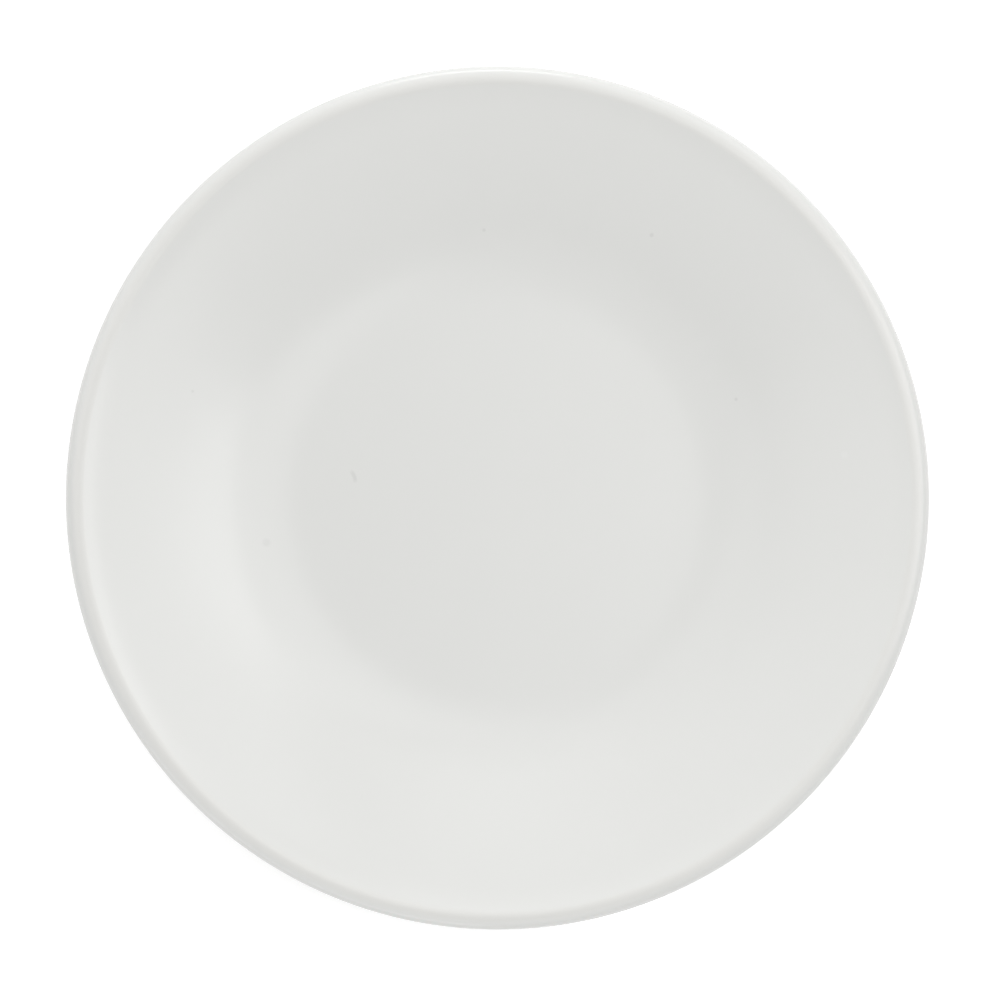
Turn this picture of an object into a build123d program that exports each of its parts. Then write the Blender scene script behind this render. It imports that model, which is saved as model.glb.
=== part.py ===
from build123d import *
from math import radians, sin, tan
import os

# Coupe dinner plate: one body of fired white clay under a satin glaze.
#
# Millimetres, +Z up. The origin is on the table, under the middle of the plate.
# The plate is round, so each piece is a section on the XZ plane, with the plate's
# own axis at X = 0, turned once round that axis.

# ---- Driving dimensions ----------------------------------------------------

# Overall
plate_diameter = 267.0  # over the glaze
glaze_thickness = 0.3

# The face, from the middle out. Widths are level and slopes are in degrees.
well_radius = 61.8  # the flat middle
sweep_width = 24.0  # hollow curve that climbs out of the well
wall_slope = 20.0  # the wall's steepest slope, where the hollow curve ends
wall_easing = 5.5  # how much the wall flattens again on its way out
lip_width = 12.5  # the upturned lip, in from the edge of the plate
lip_turn = 8.0  # how much the lip turns back up
roll_radius = 4.0  # the rolled edge, from its crest out to its widest point
edge_depth = 2.4  # from the widest point down to the corner of the back
edge_radius = 2.2  # rounding of that corner

# The back
wall_thickness = 4.6  # clay under the well and the hollow curve
recess_height = 3.0  # the hollow inside the foot ring
foot_setout = 13.2  # from the edge of the well out to the ring's outer side
foot_width = 4.0  # clay of the ring, where it stands
foot_draft = 8.0  # lean of the ring's two sides, in degrees
foot_root_radius = 1.8  # rounding where the ring leaves the back
foot_edge_radius = 0.9  # rounding beside the standing face
bare_height = 1.3  # the ring is wiped free of glaze up to here

# ---- Worked out from them --------------------------------------------------

clay_radius = plate_diameter / 2 - glaze_thickness
well_height = recess_height + wall_thickness
shoulder_slope = wall_slope - wall_easing
lip_slope = shoulder_slope + lip_turn
foot_outer = well_radius + foot_setout
foot_inner = foot_outer - foot_width
foot_lean = tan(radians(foot_draft))


def arc_radius(run, first_slope, last_slope):
    """Radius of the arc that turns from one slope to another over a level run."""
    return run / abs(sin(radians(last_slope)) - sin(radians(first_slope)))


wall_start = well_radius + sweep_width
lip_start = clay_radius - lip_width
lip_end = clay_radius - roll_radius * (1 + sin(radians(lip_slope)))
sweep_radius = arc_radius(sweep_width, 0, wall_slope)
wall_radius = arc_radius(lip_start - wall_start, wall_slope, shoulder_slope)
lip_radius = arc_radius(lip_end - lip_start, shoulder_slope, lip_slope)

# ---- Section through the clay ----------------------------------------------

# The face: well, hollow sweep, easing wall, upturned lip and rolled edge, each
# tangent to the one before.
with BuildLine() as face:
    well = Line((0, well_height), (well_radius, well_height))
    sweep = JernArc(well @ 1, well % 1, sweep_radius, wall_slope)
    wall = JernArc(sweep @ 1, sweep % 1, wall_radius, -wall_easing)
    lip = JernArc(wall @ 1, wall % 1, lip_radius, lip_turn)
    roll = JernArc(lip @ 1, lip % 1, roll_radius, -(90 + lip_slope))
corner = roll @ 1 - (0, edge_depth)

# The space under the plate, in two parts with the foot ring between them. Outside
# the ring it follows the back: parallel to the well and the sweep, then one long
# arc that lets the clay thicken out to the corner below the rolled edge. Inside the
# ring it is the flat recess. Both sides of the ring lean in towards its foot.
with BuildSketch(Plane.XZ) as underside:
    with BuildLine():
        back_well = Line((0, recess_height), (well_radius, recess_height))
        back_radius = sweep_radius + wall_thickness
        back_sweep = JernArc(back_well @ 1, back_well % 1, back_radius, wall_slope)
        TangentArc(back_sweep @ 1, corner, tangent=back_sweep % 1)
        Polyline(corner, (clay_radius, 0), (0, 0), back_well @ 0)
    make_face()
    with BuildLine():
        ring_top = (foot_outer + corner.Y * foot_lean, corner.Y)
        Polyline((0, 0), (foot_outer, 0), ring_top, (0, corner.Y), close=True)
    make_face(mode=Mode.SUBTRACT)
    with BuildLine():
        recess_edge = (foot_inner - recess_height * foot_lean, recess_height)
        Polyline(
            (0, 0), (foot_inner, 0), recess_edge, (0, recess_height), close=True
        )
    make_face()

with BuildSketch(Plane.XZ) as clay_section:
    with BuildLine():
        add(face.line)
        Polyline(roll @ 1, (clay_radius, 0), (0, 0), well @ 0)
    make_face()
    add(underside.sketch_local, mode=Mode.SUBTRACT)

    # Rounded corners: under the rolled edge, beside the face that the ring
    # stands on, and where the ring leaves the back
    outermost = clay_section.vertices().group_by(Axis.X)[-1]
    fillet(outermost.sort_by(Axis.Y)[0], edge_radius)
    fillet(clay_section.vertices().group_by(Axis.Y)[0], foot_edge_radius)
    below_well = clay_section.vertices().filter_by_position(
        Axis.Y, bare_height, well_height, inclusive=(False, False)
    )
    ring_roots = below_well.filter_by_position(
        Axis.X, foot_inner - foot_width, foot_outer + foot_width
    )
    fillet(ring_roots, foot_root_radius)

# ---- Section through the glaze ---------------------------------------------

# One even coat all round the clay. It has no part beyond the plate's axis, and
# none on the wiped foot, which splits it in two: one coat runs over the face, the
# rolled edge and the back, and the other covers the recess inside the ring.
with BuildSketch(Plane.XZ) as glaze_section:
    add(clay_section.sketch_local)
    offset(amount=glaze_thickness, kind=Kind.ARC)
    add(clay_section.sketch_local, mode=Mode.SUBTRACT)
    Rectangle(plate_diameter, 2 * bare_height, mode=Mode.SUBTRACT)
    with Locations((-plate_diameter / 2, 0)):
        Rectangle(plate_diameter, plate_diameter, mode=Mode.SUBTRACT)

base_coat, face_coat = glaze_section.sketch.faces().sort_by(SortBy.AREA)

# ---- The three pieces ------------------------------------------------------

with BuildPart() as clay_body:
    revolve(clay_section.sketch, axis=Axis.Z)
clay_body.part.label = "clay_body"

with BuildPart() as face_glaze:
    revolve(face_coat, axis=Axis.Z)
face_glaze.part.label = "face_glaze"

with BuildPart() as base_glaze:
    revolve(base_coat, axis=Axis.Z)
base_glaze.part.label = "base_glaze"

os.makedirs("parts", exist_ok=True)
for piece in (clay_body, face_glaze, base_glaze):
    export_step(piece.part, f"parts/{piece.part.label}.step")
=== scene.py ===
from math import atan2, ceil, cos, degrees, pi, radians, sin, sqrt, tan

import bpy
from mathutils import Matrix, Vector


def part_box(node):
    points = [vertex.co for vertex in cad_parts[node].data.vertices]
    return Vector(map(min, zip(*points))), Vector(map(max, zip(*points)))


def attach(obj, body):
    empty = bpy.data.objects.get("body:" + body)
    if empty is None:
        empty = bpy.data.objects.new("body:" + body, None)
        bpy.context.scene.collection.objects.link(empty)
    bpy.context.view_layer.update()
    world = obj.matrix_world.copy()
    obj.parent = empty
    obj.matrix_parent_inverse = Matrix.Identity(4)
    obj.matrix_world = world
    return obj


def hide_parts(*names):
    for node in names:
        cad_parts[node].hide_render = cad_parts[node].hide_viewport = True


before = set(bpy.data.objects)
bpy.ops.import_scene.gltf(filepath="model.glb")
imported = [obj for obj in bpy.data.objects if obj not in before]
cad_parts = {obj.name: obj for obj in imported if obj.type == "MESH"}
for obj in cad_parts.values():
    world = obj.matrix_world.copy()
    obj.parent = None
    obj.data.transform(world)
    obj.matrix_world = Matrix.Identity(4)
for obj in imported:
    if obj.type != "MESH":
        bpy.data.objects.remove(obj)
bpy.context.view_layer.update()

# Looks of a coupe dinner plate: a body of fired white clay under a satin glaze.
#
# The plate is round, so each of its three pieces is a section, turned once round the
# plate's axis by a Geometry Nodes tree. Sizes of the plate and its finishes are in
# millimetres, and MM turns them into Blender's metres. Angles are in degrees.

MM = 0.001
WHITE = (1, 1, 1, 1)
BLACK = (0, 0, 0, 1)

# ---- The plate's sizes ---------------------------------------------------------------

plate_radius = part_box("face_glaze")[1].x / MM
glaze_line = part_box("face_glaze")[0].z / MM  # the foot is wiped bare up to here
glaze_thickness = 0.3

# The face, from the middle out, as in the solids
well_radius = 61.8
sweep_width = 24.0
wall_slope = 20.0
wall_easing = 5.5
lip_width = 12.5
lip_turn = 8.0
roll_radius = 4.0
edge_depth = 2.4
edge_radius = 2.2

# The back
wall_thickness = 4.6
recess_height = 3.0
foot_setout = 13.2
foot_width = 4.0
foot_draft = 8.0
foot_root_radius = 1.8
foot_edge_radius = 0.9

# How finely a section is turned
steps_round = 256
steps_per_bend = 9
longest_bend = 30.0  # a longer arc is drawn as several bends
weld_distance = 0.01

clay_radius = plate_radius - glaze_thickness
well_height = recess_height + wall_thickness
shoulder_slope = wall_slope - wall_easing
lip_slope = shoulder_slope + lip_turn
foot_lean = tan(radians(foot_draft))


def toward(heading):
    """The unit step in a direction, counted in degrees from outward to upward."""
    return Vector((cos(radians(heading)), sin(radians(heading))))


def arc_radius(run, first_slope, last_slope):
    """Radius of the arc that turns from one slope to another over a level run."""
    return run / abs(sin(radians(last_slope)) - sin(radians(first_slope)))


def handle_share(turn):
    """Length of a Bezier handle on an arc of so many degrees, as a share of its radius."""
    return 4 / 3 * tan(radians(abs(turn) / 4))


# ---- Sections ------------------------------------------------------------------------


class Outline:
    """A section's outline: a walk of straights and arcs, with the clay on its right.

    Each knot is a point of a Bezier spline between its two handles. An outline that
    stands off the clay by a skin keeps the walk's headings and lengths. Only its arcs
    differ: they are wider round the clay and tighter in its hollows.
    """

    def __init__(self, place, heading, skin=0.0):
        self.heading = heading
        self.skin = skin
        self.place = place + skin * toward(heading + 90)
        self.knots = [[self.place] * 3]

    def step(self, chord, turn, handle):
        """One knot further, with handles along the headings at both ends."""
        self.knots[-1][2] = self.place + handle * toward(self.heading)
        self.place = self.place + chord * toward(self.heading + turn / 2)
        self.heading += turn
        self.knots.append([self.place - handle * toward(self.heading), self.place, self.place])

    def straight(self, length):
        self.step(length, 0, length / 3)

    def arc(self, radius, turn):
        """An arc to the left by so many degrees, or right where the turn is negative."""
        bends = ceil(abs(turn) / longest_bend)
        bend = turn / bends
        radius -= self.skin if turn > 0 else -self.skin
        chord = 2 * radius * sin(radians(abs(bend) / 2))
        for _ in range(bends):
            self.step(chord, bend, radius * handle_share(bend))

    def end_coat(self, length):
        """Rounds off the end of a coat, down to the clay that much further on."""
        ease = handle_share(90)
        drop = self.skin * toward(self.heading + 90)
        self.knots[-1][2] = self.place + ease * length * toward(self.heading)
        self.place = self.place + length * toward(self.heading) - drop
        self.knots.append([self.place + ease * drop, self.place, self.place])


# The face's arcs, each tangent to the one before, and the corner under the rolled edge
wall_start = well_radius + sweep_width
lip_start = clay_radius - lip_width
lip_end = clay_radius - roll_radius * (1 + sin(radians(lip_slope)))
sweep_radius = arc_radius(sweep_width, 0, wall_slope)
wall_radius = arc_radius(lip_start - wall_start, wall_slope, shoulder_slope)
lip_radius = arc_radius(lip_end - lip_start, shoulder_slope, lip_slope)


def walk_face(outline):
    """From the middle of the well, out and over the rolled edge to its widest point."""
    outline.straight(well_radius)
    outline.arc(sweep_radius, wall_slope)
    outline.arc(wall_radius, -wall_easing)
    outline.arc(lip_radius, lip_turn)
    outline.arc(roll_radius, -(90 + lip_slope))


middle_of_well = Vector((0, well_height))
middle_of_recess = Vector((0, recess_height))
probe = Outline(middle_of_well, 0)
walk_face(probe)
widest = probe.place
crest = widest + Vector((-roll_radius, roll_radius))
corner = widest - Vector((0, edge_depth))

# The back: a hollow curve parallel to the sweep, then one long arc out to the corner
back_radius = sweep_radius + wall_thickness
back_centre = Vector((well_radius, recess_height + back_radius))
back_break = back_centre + back_radius * toward(wall_slope - 90)
reach = corner - back_break
reach_slope = degrees(atan2(reach.y, reach.x))
flank_radius = reach.length / (2 * sin(radians(wall_slope - reach_slope)))
flank_centre = back_break + flank_radius * toward(wall_slope - 90)

# A ball of the corner's radius, rolled into it between the edge and the flank
ball_x = clay_radius - edge_radius
ball_height = sqrt((flank_radius + edge_radius) ** 2 - (ball_x - flank_centre.x) ** 2)
edge_ball = Vector((ball_x, flank_centre.y + ball_height))
to_edge_ball = edge_ball - flank_centre
corner_slope = degrees(atan2(to_edge_ball.y, to_edge_ball.x)) - 90

# And a ball of the root's radius, rolled in between the back and the foot ring's side
foot_outer = well_radius + foot_setout
foot_inner = foot_outer - foot_width
recess_edge = foot_inner - recess_height * foot_lean
foot_turn = 90 - foot_draft
ring_side = toward(foot_turn)
beside_ring = Vector((foot_outer, 0)) + foot_root_radius * toward(-foot_draft) - back_centre
along = beside_ring.dot(ring_side)
root_reach = back_radius + foot_root_radius
root_start = -along - sqrt(along**2 - beside_ring.length_squared + root_reach**2)
to_root_ball = beside_ring + root_start * ring_side
root_slope = degrees(atan2(to_root_ball.y, to_root_ball.x)) + 90

# Lengths along the ring's two sides, from the floor up
draft_stretch = 1 / cos(radians(foot_draft))
bare_length = glaze_line * draft_stretch
inner_side_length = recess_height * draft_stretch
rounding = tan(radians(foot_turn / 2))
foot_rounding = foot_edge_radius * rounding
root_rounding = foot_root_radius * rounding
inner_straight = inner_side_length - root_rounding - bare_length


def walk_back(outline, coat_end=0.0):
    """On from the widest point, under the plate and down to the foot's glaze line."""
    outline.straight(widest.y - edge_ball.y)
    outline.arc(edge_radius, corner_slope - 90)
    outline.arc(flank_radius, wall_slope - corner_slope)
    outline.arc(back_radius, root_slope - wall_slope)
    outline.arc(foot_root_radius, foot_turn - root_slope)
    outline.straight(root_start - bare_length - coat_end)


def walk_foot(outline):
    """On from the glaze line, round the bare foot to the glaze line inside it."""
    outline.straight(bare_length - foot_rounding)
    outline.arc(foot_edge_radius, -foot_turn)
    outline.straight(foot_width - 2 * foot_rounding)
    outline.arc(foot_edge_radius, -foot_turn)
    outline.straight(bare_length - foot_rounding)


def walk_recess(outline, coat_end=0.0):
    """From the plate's axis, out under the well and down inside the ring's glaze line."""
    outline.straight(recess_edge - root_rounding)
    outline.arc(foot_root_radius, -foot_turn)
    outline.straight(inner_straight - coat_end)


def backwards(knots):
    """The same run of knots, from its other end."""
    return [knot[::-1] for knot in reversed(knots)]


def joined(first, second):
    """Two runs of knots as one, where the first ends at the place the second starts."""
    (arrival, place, _), (_, _, departure) = first[-1], second[0]
    return first[:-1] + [[arrival, place, departure]] + second[1:]


def clay_section():
    """Over the face and the edge, under to the foot and round it, and to the recess."""
    body = Outline(middle_of_well, 0)
    walk_face(body)
    walk_back(body)
    walk_foot(body)
    recess = Outline(middle_of_recess, 0)
    walk_recess(recess)
    return joined(body.knots, backwards(recess.knots))


def face_glaze_section():
    """The outside of the coat to its rounded end, and back along the clay under it."""
    outside = Outline(middle_of_well, 0, glaze_thickness)
    walk_face(outside)
    walk_back(outside, glaze_thickness)
    outside.end_coat(glaze_thickness)
    under = Outline(middle_of_well, 0)
    walk_face(under)
    walk_back(under)
    return joined(outside.knots, backwards(under.knots))


def base_glaze_section():
    """The same for the coat inside the ring, which has its clay on the other hand."""
    coat_end = min(glaze_thickness, inner_straight)
    outside = Outline(middle_of_recess, 0, -glaze_thickness)
    walk_recess(outside, coat_end)
    outside.end_coat(coat_end)
    over = Outline(middle_of_recess, 0)
    walk_recess(over)
    return joined(over.knots, backwards(outside.knots))


# ---- Node trees ----------------------------------------------------------------------


class Wire:
    """One output of a node, so that maths on it reads as arithmetic."""

    def __init__(self, graph, socket):
        self.graph = graph
        self.socket = socket

    def __getitem__(self, name):
        """Another output of the same node."""
        return Wire(self.graph, self.socket.node.outputs[name])

    def __add__(self, other):
        return self.graph.maths("ADD", self, other)

    def __radd__(self, other):
        return self.graph.maths("ADD", other, self)

    def __sub__(self, other):
        return self.graph.maths("SUBTRACT", self, other)

    def __rsub__(self, other):
        return self.graph.maths("SUBTRACT", other, self)

    def __mul__(self, other):
        return self.graph.maths("MULTIPLY", self, other)

    def __rmul__(self, other):
        return self.graph.maths("MULTIPLY", other, self)


class Graph:
    """A node tree being drawn, of a material, a world or a shape."""

    def __init__(self, tree):
        self.tree = tree
        tree.nodes.clear()

    def node(self, kind, settings=None, sockets=None):
        """A new node: its settings first, then a value or a wire for each socket."""
        made = self.tree.nodes.new(kind)
        for name, value in (settings or {}).items():
            setattr(made, name, value)
        for name, value in (sockets or {}).items():
            if isinstance(value, Wire):
                self.tree.links.new(value.socket, made.inputs[name])
            else:
                made.inputs[name].default_value = value
        shown = [output for output in made.outputs if output.enabled]
        return Wire(self, shown[0]) if shown else None

    def maths(self, operation, *values):
        """A Math node, on numbers and wires."""
        return self.node("ShaderNodeMath", {"operation": operation}, dict(enumerate(values)))

    def fade(self, value, start, end):
        """A mask that goes smoothly from 0 at one value to 1 at another."""
        settings = {"interpolation_type": "SMOOTHSTEP"}
        sockets = {"Value": value, "From Min": start, "From Max": end}
        return self.node("ShaderNodeMapRange", settings, sockets)

    def noise(self, place, size, detail=2.0):
        """Cloudy noise about 0.5, with features of about that size."""
        sockets = {"Vector": place, "Scale": 1 / (size * MM), "Detail": detail}
        return self.node("ShaderNodeTexNoise", {}, sockets)

    def rings(self, from_axis, width):
        """Noise about 0.5 in rings round the plate's axis, about so wide."""
        settings = {"noise_dimensions": "1D"}
        sockets = {"W": from_axis, "Scale": 1 / (width * MM)}
        return self.node("ShaderNodeTexNoise", settings, sockets)

    def specks(self, place, spacing, width):
        """Round specks, 1 in their middle and up to so wide, in a few of the cells."""
        sockets = {"Vector": place, "Scale": 1 / (spacing * MM)}
        cells = self.node("ShaderNodeTexVoronoi", {}, sockets)
        # Each cell has a random colour, and only the lightest ones have a speck
        plain = 0.68
        chosen = self.fade(cells["Color"], plain, plain + 0.02)
        reach = width / 2 / spacing
        core = 0.4 * reach
        return chosen * (1 - self.fade(cells["Distance"], core, reach))

    def mix(self, mask, colour, other):
        """One colour where the mask is 0, and the other where it is 1."""
        a, b, result = 6, 7, 2  # this node's sockets for colours
        settings = {"data_type": "RGBA"}
        return self.node("ShaderNodeMix", settings, {0: mask, a: colour, b: other})[result]

    def distance(self, place, point):
        """How far a place is from a point, both in metres."""
        settings = {"operation": "DISTANCE"}
        return self.node("ShaderNodeVectorMath", settings, {0: place, 1: point})["Value"]

    def near(self, place, point, reach):
        """A mask that is 1 at a point, and gone that far from it."""
        core = 0.3 * reach
        away = self.distance(place, MM * Vector(point).to_3d())
        return 1 - self.fade(away, core * MM, reach * MM)


def turning_tree():
    """Turns a section, drawn with the plate's axis at X = 0 and up as Y, once round Z."""
    tree = bpy.data.node_groups.new("turned_piece", "GeometryNodeTree")
    inputs = {
        "Section": "NodeSocketObject",
        "Steps round": "NodeSocketInt",
        "Steps per bend": "NodeSocketInt",
        "Weld distance": "NodeSocketFloat",
        "Finish": "NodeSocketMaterial",
    }
    for name, kind in inputs.items():
        tree.interface.new_socket(name, in_out="INPUT", socket_type=kind)
    tree.interface.new_socket("Piece", in_out="OUTPUT", socket_type="NodeSocketGeometry")
    graph = Graph(tree)
    given = graph.node("NodeGroupInput")
    section = graph.node("GeometryNodeObjectInfo", {}, {"Object": given["Section"]})["Geometry"]
    sockets = {"Geometry": section, "Resolution": given["Steps per bend"]}
    section = graph.node("GeometryNodeSetSplineResolution", {}, sockets)

    # The section travels round a circle, and stands back from it to the plate's axis
    path_radius = 100 * MM
    sockets = {"Resolution": given["Steps round"], "Radius": path_radius}
    circle = graph.node("GeometryNodeCurvePrimitiveCircle", {}, sockets)
    sockets = {"Geometry": section, "Translation": (-path_radius, 0, 0)}
    section = graph.node("GeometryNodeTransform", {}, sockets)
    sockets = {"Curve": circle, "Profile Curve": section}
    shell = graph.node("GeometryNodeCurveToMesh", {}, sockets)

    # It comes out upside down and inside out, and with its poles unwelded
    shell = graph.node("GeometryNodeTransform", {}, {"Geometry": shell, "Rotation": (pi, 0, 0)})
    shell = graph.node("GeometryNodeFlipFaces", {}, {"Mesh": shell})
    sockets = {"Geometry": shell, "Distance": given["Weld distance"]}
    shell = graph.node("GeometryNodeMergeByDistance", {}, sockets)
    shell = graph.node("GeometryNodeSetShadeSmooth", {}, {"Geometry": shell})
    shell = graph.node("GeometryNodeRealizeInstances", {}, {"Geometry": shell})
    sockets = {"Geometry": shell, "Material": given["Finish"]}
    shell = graph.node("GeometryNodeSetMaterial", {}, sockets)
    graph.node("NodeGroupOutput", {}, {"Piece": shell})
    return tree


# ---- Finishes ------------------------------------------------------------------------


def finish_graph(name):
    """A new material, and the graph that draws it."""
    material = bpy.data.materials.new(name)
    material.use_nodes = True
    return material, Graph(material.node_tree)


def surface(graph, colour, roughness, height, relief):
    """The shader of a finish, with so much relief for 1 of its height."""
    bump = graph.node("ShaderNodeBump", {}, {"Height": height, "Distance": relief * MM})
    sockets = {"Base Color": colour, "Roughness": roughness, "IOR": 1.5, "Normal": bump}
    shader = graph.node("ShaderNodeBsdfPrincipled", {}, sockets)
    graph.node("ShaderNodeOutputMaterial", {}, {"Surface": shader})


class PlatePlace:
    """Where a point of the plate is, as wires for its finish to read."""

    def __init__(self, graph):
        self.graph = graph
        self.coordinates = graph.node("ShaderNodeTexCoord")
        self.place = self.coordinates["Object"]
        across = {0: self.place, 1: (1, 1, 0)}
        self.flat = graph.node("ShaderNodeVectorMath", {"operation": "MULTIPLY"}, across)
        self.from_axis = graph.distance(self.flat, (0, 0, 0))
        self.height = graph.node("ShaderNodeSeparateXYZ", {}, {"Vector": self.place})["Z"]

    def in_section(self):
        """The place as a point of the section."""
        sockets = {"X": self.from_axis, "Y": self.height}
        return self.graph.node("ShaderNodeCombineXYZ", {}, sockets)

    def faces_up(self):
        """A mask that is 1 on the face and 0 on the back."""
        sockets = {"Vector": self.coordinates["Normal"]}
        normal = self.graph.node("ShaderNodeSeparateXYZ", {}, sockets)
        edge_on = 0.1
        return self.graph.fade(normal["Z"], -edge_on, edge_on)


# Dark specks that the firing left in the face: where, how wide, and how much darker
firing_marks = (
    ((-72.2, -13.9), 3.6, 0.05),
    ((74.4, 30.8), 1.5, 0.09),
    ((47.9, 81.7), 1.8, 0.085),
    ((-4.2, 83.5), 1.5, 0.08),
    ((-94.6, 33.1), 1.3, 0.07),
)
# One short stroke, on a bend about its own centre
stroke_middle = Vector((-44.8, 6.8))
stroke_centre = Vector((-50.2, 4.7))
stroke_length = 5.2
stroke_width = 1.9
stroke_depth = 0.09
# And one faint painted highlight: a small glint, painted as a paler patch of the face
painted_glint_place = (107.5, 13.4)
painted_glint_width = 3.2
painted_glint_strength = 0.08


def darkening(graph, flat):
    """How much the firing marks darken the face, on its places taken as flat."""
    bend_radius = (stroke_middle - stroke_centre).length * MM
    off_bend = graph.distance(flat, MM * stroke_centre.to_3d()) - bend_radius
    half_width = stroke_width / 2 * MM
    core = 0.2 * half_width
    across = 1 - graph.fade(graph.maths("ABSOLUTE", off_bend), core, half_width)
    total = stroke_depth * across * graph.near(flat, stroke_middle, stroke_length / 2)
    for point, width, depth in firing_marks:
        total = total + depth * graph.near(flat, point, width / 2)
    return total


# Where the glaze runs thin and where it pools, as points of the section
glaze_ends = (
    (foot_outer + glaze_line * foot_lean, glaze_line),
    (foot_inner - glaze_line * foot_lean, glaze_line),
)
glaze_pools = (
    Vector((foot_outer, 0)) + root_start * ring_side,
    (recess_edge, recess_height),
)


def satin_glaze(name):
    """White satin glaze: faint clouds of tone and gloss over a very fine orange peel.

    It is thin over the crest of the lip and where it ends on the foot, and lets the
    warmer clay show through a little there. It pools at the foot ring's roots. The
    back has faint throwing rings under the glaze, and a few iron specks.
    """
    material, graph = finish_graph(name)
    plate = PlatePlace(graph)
    on_face = plate.faces_up()
    on_back = 1 - on_face
    in_section = plate.in_section()
    thin_crest = graph.near(in_section, crest, reach=2.4)
    thin_end = sum(graph.near(in_section, end, reach=1.2) for end in glaze_ends)
    pooled = sum(graph.near(in_section, pool, reach=2.6) for pool in glaze_pools)
    iron = on_back * graph.specks(plate.place, spacing=6, width=0.7)

    cloud_dark = (0.790, 0.793, 0.773, 1)
    cloud_light = (0.804, 0.807, 0.787, 1)
    clay_through = (0.78, 0.75, 0.70, 1)
    deep_glaze = (0.74, 0.76, 0.745, 1)
    rust = (0.30, 0.22, 0.16, 1)
    clouds = graph.noise(plate.place, size=30)
    colour = graph.mix(clouds, cloud_dark, cloud_light)
    colour = graph.mix(0.15 * thin_crest + 0.6 * thin_end, colour, clay_through)
    colour = graph.mix(0.5 * pooled, colour, deep_glaze)
    colour = graph.mix(0.5 * iron, colour, rust)
    darker = on_face * darkening(graph, plate.flat)
    colour = graph.mix(darker, colour, BLACK)
    # Painted highlight: the small glint is painted into the face's colour by mixing it toward
    # white
    painted_glint_mask = on_face * graph.near(plate.flat, painted_glint_place, painted_glint_width / 2)
    colour = graph.mix(painted_glint_strength * painted_glint_mask, colour, WHITE)

    satin = 0.20
    gloss = graph.noise(plate.place, size=12) - 0.5
    roughness = satin + 0.05 * gloss + 0.04 * thin_crest + 0.15 * thin_end
    peel = graph.noise(plate.place, size=2.8, detail=1.0)
    grain = graph.noise(plate.place, size=0.7, detail=1.0)
    throwing_rings = on_back * graph.rings(plate.from_axis, width=3)
    height = 0.8 * peel + 0.2 * grain + 2.0 * throwing_rings
    surface(graph, colour, roughness, height, relief=0.008)
    return material


def bare_clay(name):
    """Fired white clay, unglazed: matt and gritty, with a few iron specks.

    The face that the plate stands on is ground flat, in fine rings, and has picked up
    grey scuffs.
    """
    material, graph = finish_graph(name)
    plate = PlatePlace(graph)
    standing = 1 - graph.fade(plate.height, start=0.02 * MM, end=0.2 * MM)
    patches = graph.noise(plate.place, size=9, detail=5.0)
    scuffs = standing * graph.fade(patches, start=0.50, end=0.66)
    ground = standing * graph.rings(plate.from_axis, width=0.35)
    grit = graph.noise(plate.place, size=0.6, detail=3.0)
    iron = graph.specks(plate.place, spacing=1.6, width=0.5)

    dark_clay = (0.60, 0.57, 0.52, 1)
    light_clay = (0.72, 0.69, 0.64, 1)
    scuff_grey = (0.30, 0.30, 0.30, 1)
    rust = (0.28, 0.18, 0.11, 1)
    colour = graph.mix(grit, dark_clay, light_clay)
    colour = graph.mix(0.5 * scuffs * (0.4 + ground), colour, scuff_grey)
    colour = graph.mix(0.7 * iron, colour, rust)

    matt = 0.88
    roughness = matt - 0.2 * standing - 0.1 * scuffs
    surface(graph, colour, roughness, grit + 0.8 * ground, relief=0.03)
    return material


# ---- The three pieces ----------------------------------------------------------------


def turned_piece(name, knots, tree, finish):
    """A piece turned by the tree from its section, as a plain mesh."""
    curve = bpy.data.curves.new(name + "_section", "CURVE")
    spline = curve.splines.new("BEZIER")
    spline.bezier_points.add(len(knots) - 1)
    for point, (arrival, place, departure) in zip(spline.bezier_points, knots):
        point.handle_left_type = point.handle_right_type = "FREE"
        point.handle_left = MM * arrival.to_3d()
        point.co = MM * place.to_3d()
        point.handle_right = MM * departure.to_3d()
    section = bpy.data.objects.new(curve.name, curve)
    bpy.context.scene.collection.objects.link(section)

    piece = bpy.data.objects.new(name, bpy.data.meshes.new(name))
    bpy.context.scene.collection.objects.link(piece)
    turning = piece.modifiers.new("turning", "NODES")
    turning.node_group = tree
    values = {
        "Section": section,
        "Steps round": steps_round,
        "Steps per bend": steps_per_bend,
        "Weld distance": weld_distance * MM,
        "Finish": finish,
    }
    for item in tree.interface.items_tree:
        if item.name in values:
            turning[item.identifier] = values[item.name]
    bpy.context.view_layer.update()
    evaluated = piece.evaluated_get(bpy.context.evaluated_depsgraph_get())
    mesh = bpy.data.meshes.new_from_object(evaluated)
    mesh.name = name
    piece.modifiers.clear()
    piece.data = mesh
    bpy.data.objects.remove(section)
    return piece


turn = turning_tree()
glaze = satin_glaze("satin_white_glaze")
clay = bare_clay("bare_fired_clay")
# Each piece, the solid it stands for, its slot, its section and its finish
pieces = (
    ("fired_body", "clay_body", "bare_clay", clay_section(), clay),
    ("face_coat", "face_glaze", "satin_glaze", face_glaze_section(), glaze),
    ("base_coat", "base_glaze", "base_satin_glaze", base_glaze_section(), glaze),
)
for name, node, slot, knots, finish in pieces:
    piece = turned_piece(name, knots, turn, finish)
    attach(piece, "root")
    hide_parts(node)

# ---- The studio ----------------------------------------------------------------------

scene = bpy.context.scene
scene.view_settings.view_transform = "Standard"


def seen_directly(graph):
    """1 for what the camera sees, also in a reflection or through something clear."""
    path = graph.node("ShaderNodeLightPath")
    seen = graph.maths("MAXIMUM", path["Is Camera Ray"], path["Is Glossy Ray"])
    return graph.maths("MAXIMUM", seen, path["Is Transmission Ray"])


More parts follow.
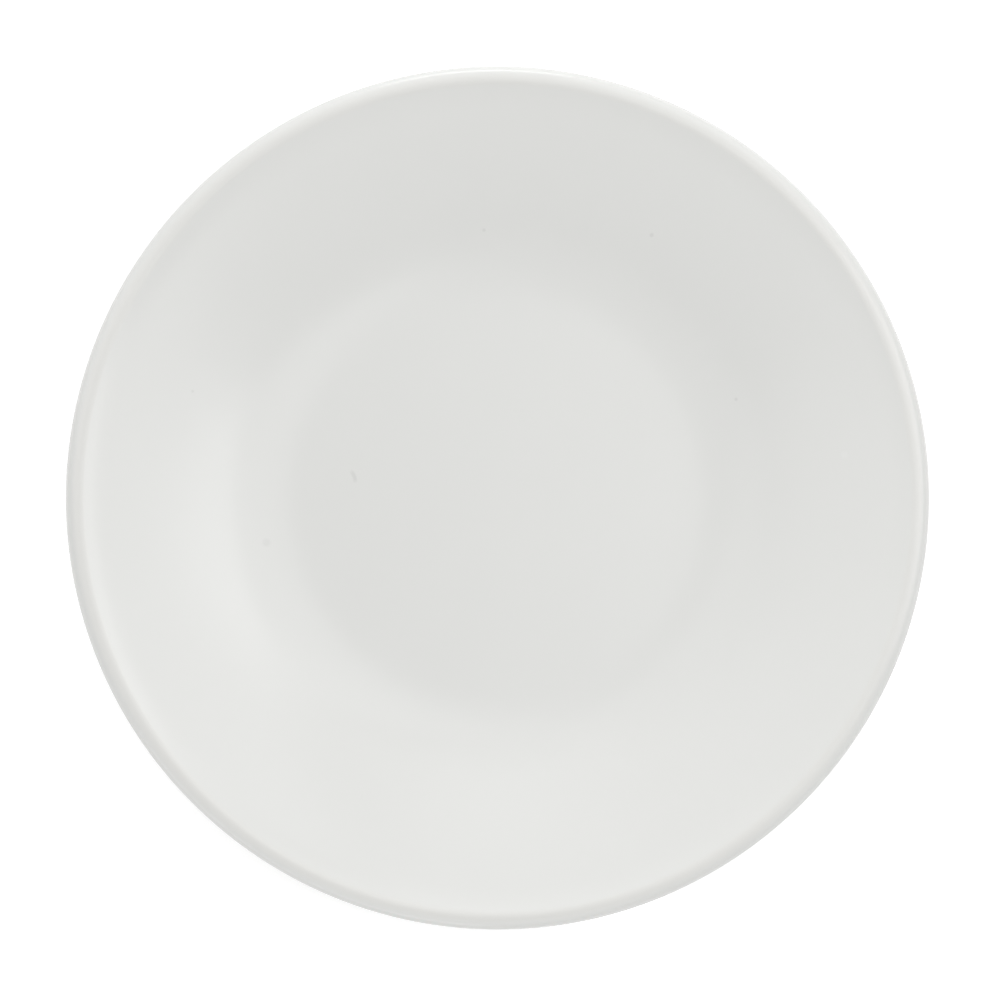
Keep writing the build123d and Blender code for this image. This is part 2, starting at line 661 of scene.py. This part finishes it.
def make_world(strength):
    """Even white light from all round, in front of a plain white backdrop."""
    scene.world = bpy.data.worlds.new("studio")
    scene.world.use_nodes = True
    graph = Graph(scene.world.node_tree)
    light = graph.node("ShaderNodeBackground", {}, {"Color": WHITE, "Strength": strength})
    backdrop = graph.node("ShaderNodeBackground", {}, {"Color": WHITE, "Strength": 1.0})
    sockets = {0: seen_directly(graph), 1: light, 2: backdrop}
    shader = graph.node("ShaderNodeMixShader", {}, sockets)
    graph.node("ShaderNodeOutputWorld", {}, {"Surface": shader})


def make_floor(size, lift):
    """A pale floor, so many metres across, with the plate's shadow on it.

    The camera and reflections see it lifted to white by a glow that lights nothing else.
    """
    floor_drop = 0.05 * MM
    half = size / 2
    mesh = bpy.data.meshes.new("floor")
    corners = [(-half, -half), (half, -half), (half, half), (-half, half)]
    mesh.from_pydata([(x, y, -floor_drop) for x, y in corners], [], [(0, 1, 2, 3)])
    floor = bpy.data.objects.new("floor", mesh)
    scene.collection.objects.link(floor)
    material, graph = finish_graph("pale_floor")
    pale_grey = (0.8, 0.8, 0.8, 1)
    paint = graph.node("ShaderNodeBsdfDiffuse", {}, {"Color": pale_grey})
    glow = graph.node("ShaderNodeEmission", {}, {"Color": WHITE, "Strength": lift})
    bright = graph.node("ShaderNodeAddShader", {}, {0: paint, 1: glow})
    sockets = {0: seen_directly(graph), 1: paint, 2: bright}
    shader = graph.node("ShaderNodeMixShader", {}, sockets)
    graph.node("ShaderNodeOutputMaterial", {}, {"Surface": shader})
    mesh.materials.append(material)


def soft_lamp(name, azimuth, zenith, half_width, half_height, radiance):
    """A soft box, aimed at the plate from three metres away."""
    distance = 3.0
    light = bpy.data.lights.new(name, "AREA")
    light.shape = "RECTANGLE"
    light.size = 2 * distance * tan(radians(half_width))
    light.size_y = 2 * distance * tan(radians(half_height))
    light.energy = pi * light.size * light.size_y * radiance
    lamp = bpy.data.objects.new(name, light)
    across, up = sin(radians(zenith)), cos(radians(zenith))
    outward = Vector((across * cos(radians(azimuth)), across * sin(radians(azimuth)), up))
    lamp.location = distance * outward
    lamp.rotation_euler = outward.to_track_quat("Z", "Y").to_euler()
    scene.collection.objects.link(lamp)


# Each lamp as the plate sees it: its azimuth from +X to +Y, its angle from straight
# above, half its width and half its height, all in degrees, and its radiance. The
# strips are so low that they light the rolled edge but hardly the flat of the face.
lamps = (
    ("key", 70, 60, 25, 25, 0.52),
    ("right_box", 6, 48, 18, 18, 1.70),
    ("right_panel", 13, 19, 18, 18, 1.04),
    ("near_panel", 266, 63, 20, 20, 0.52),
    ("left_panel", 138, 44, 32, 32, 0.63),
    ("far_strip", 93, 85, 13, 5, 6.12),
    ("near_strip", 241, 85, 28, 5, 2.57),
    ("left_strip", 134, 85, 33, 5, 1.04),
)
make_world(strength=0.39)
make_floor(size=8.0, lift=0.55)
for lamp in lamps:
    soft_lamp(*lamp)

# The camera looks straight down. In the photograph the plate is this many pixels
# across, and its middle lies this far right of and above the picture's middle.
picture_width = 1000
plate_width = 863.2
plate_right = -2.5
plate_up = 2.0

camera_data = bpy.data.cameras.new("camera")
camera_data.lens = 150.0
camera_data.clip_end = 20.0
pixels_per_radian = picture_width * camera_data.lens / camera_data.sensor_width
pixel = 2 * plate_radius * MM / plate_width
reach_down = pixel * pixels_per_radian
camera = bpy.data.objects.new("camera", camera_data)
camera.location = (-plate_right * pixel, -plate_up * pixel, widest.y * MM + reach_down)
scene.collection.objects.link(camera)
scene.camera = camera
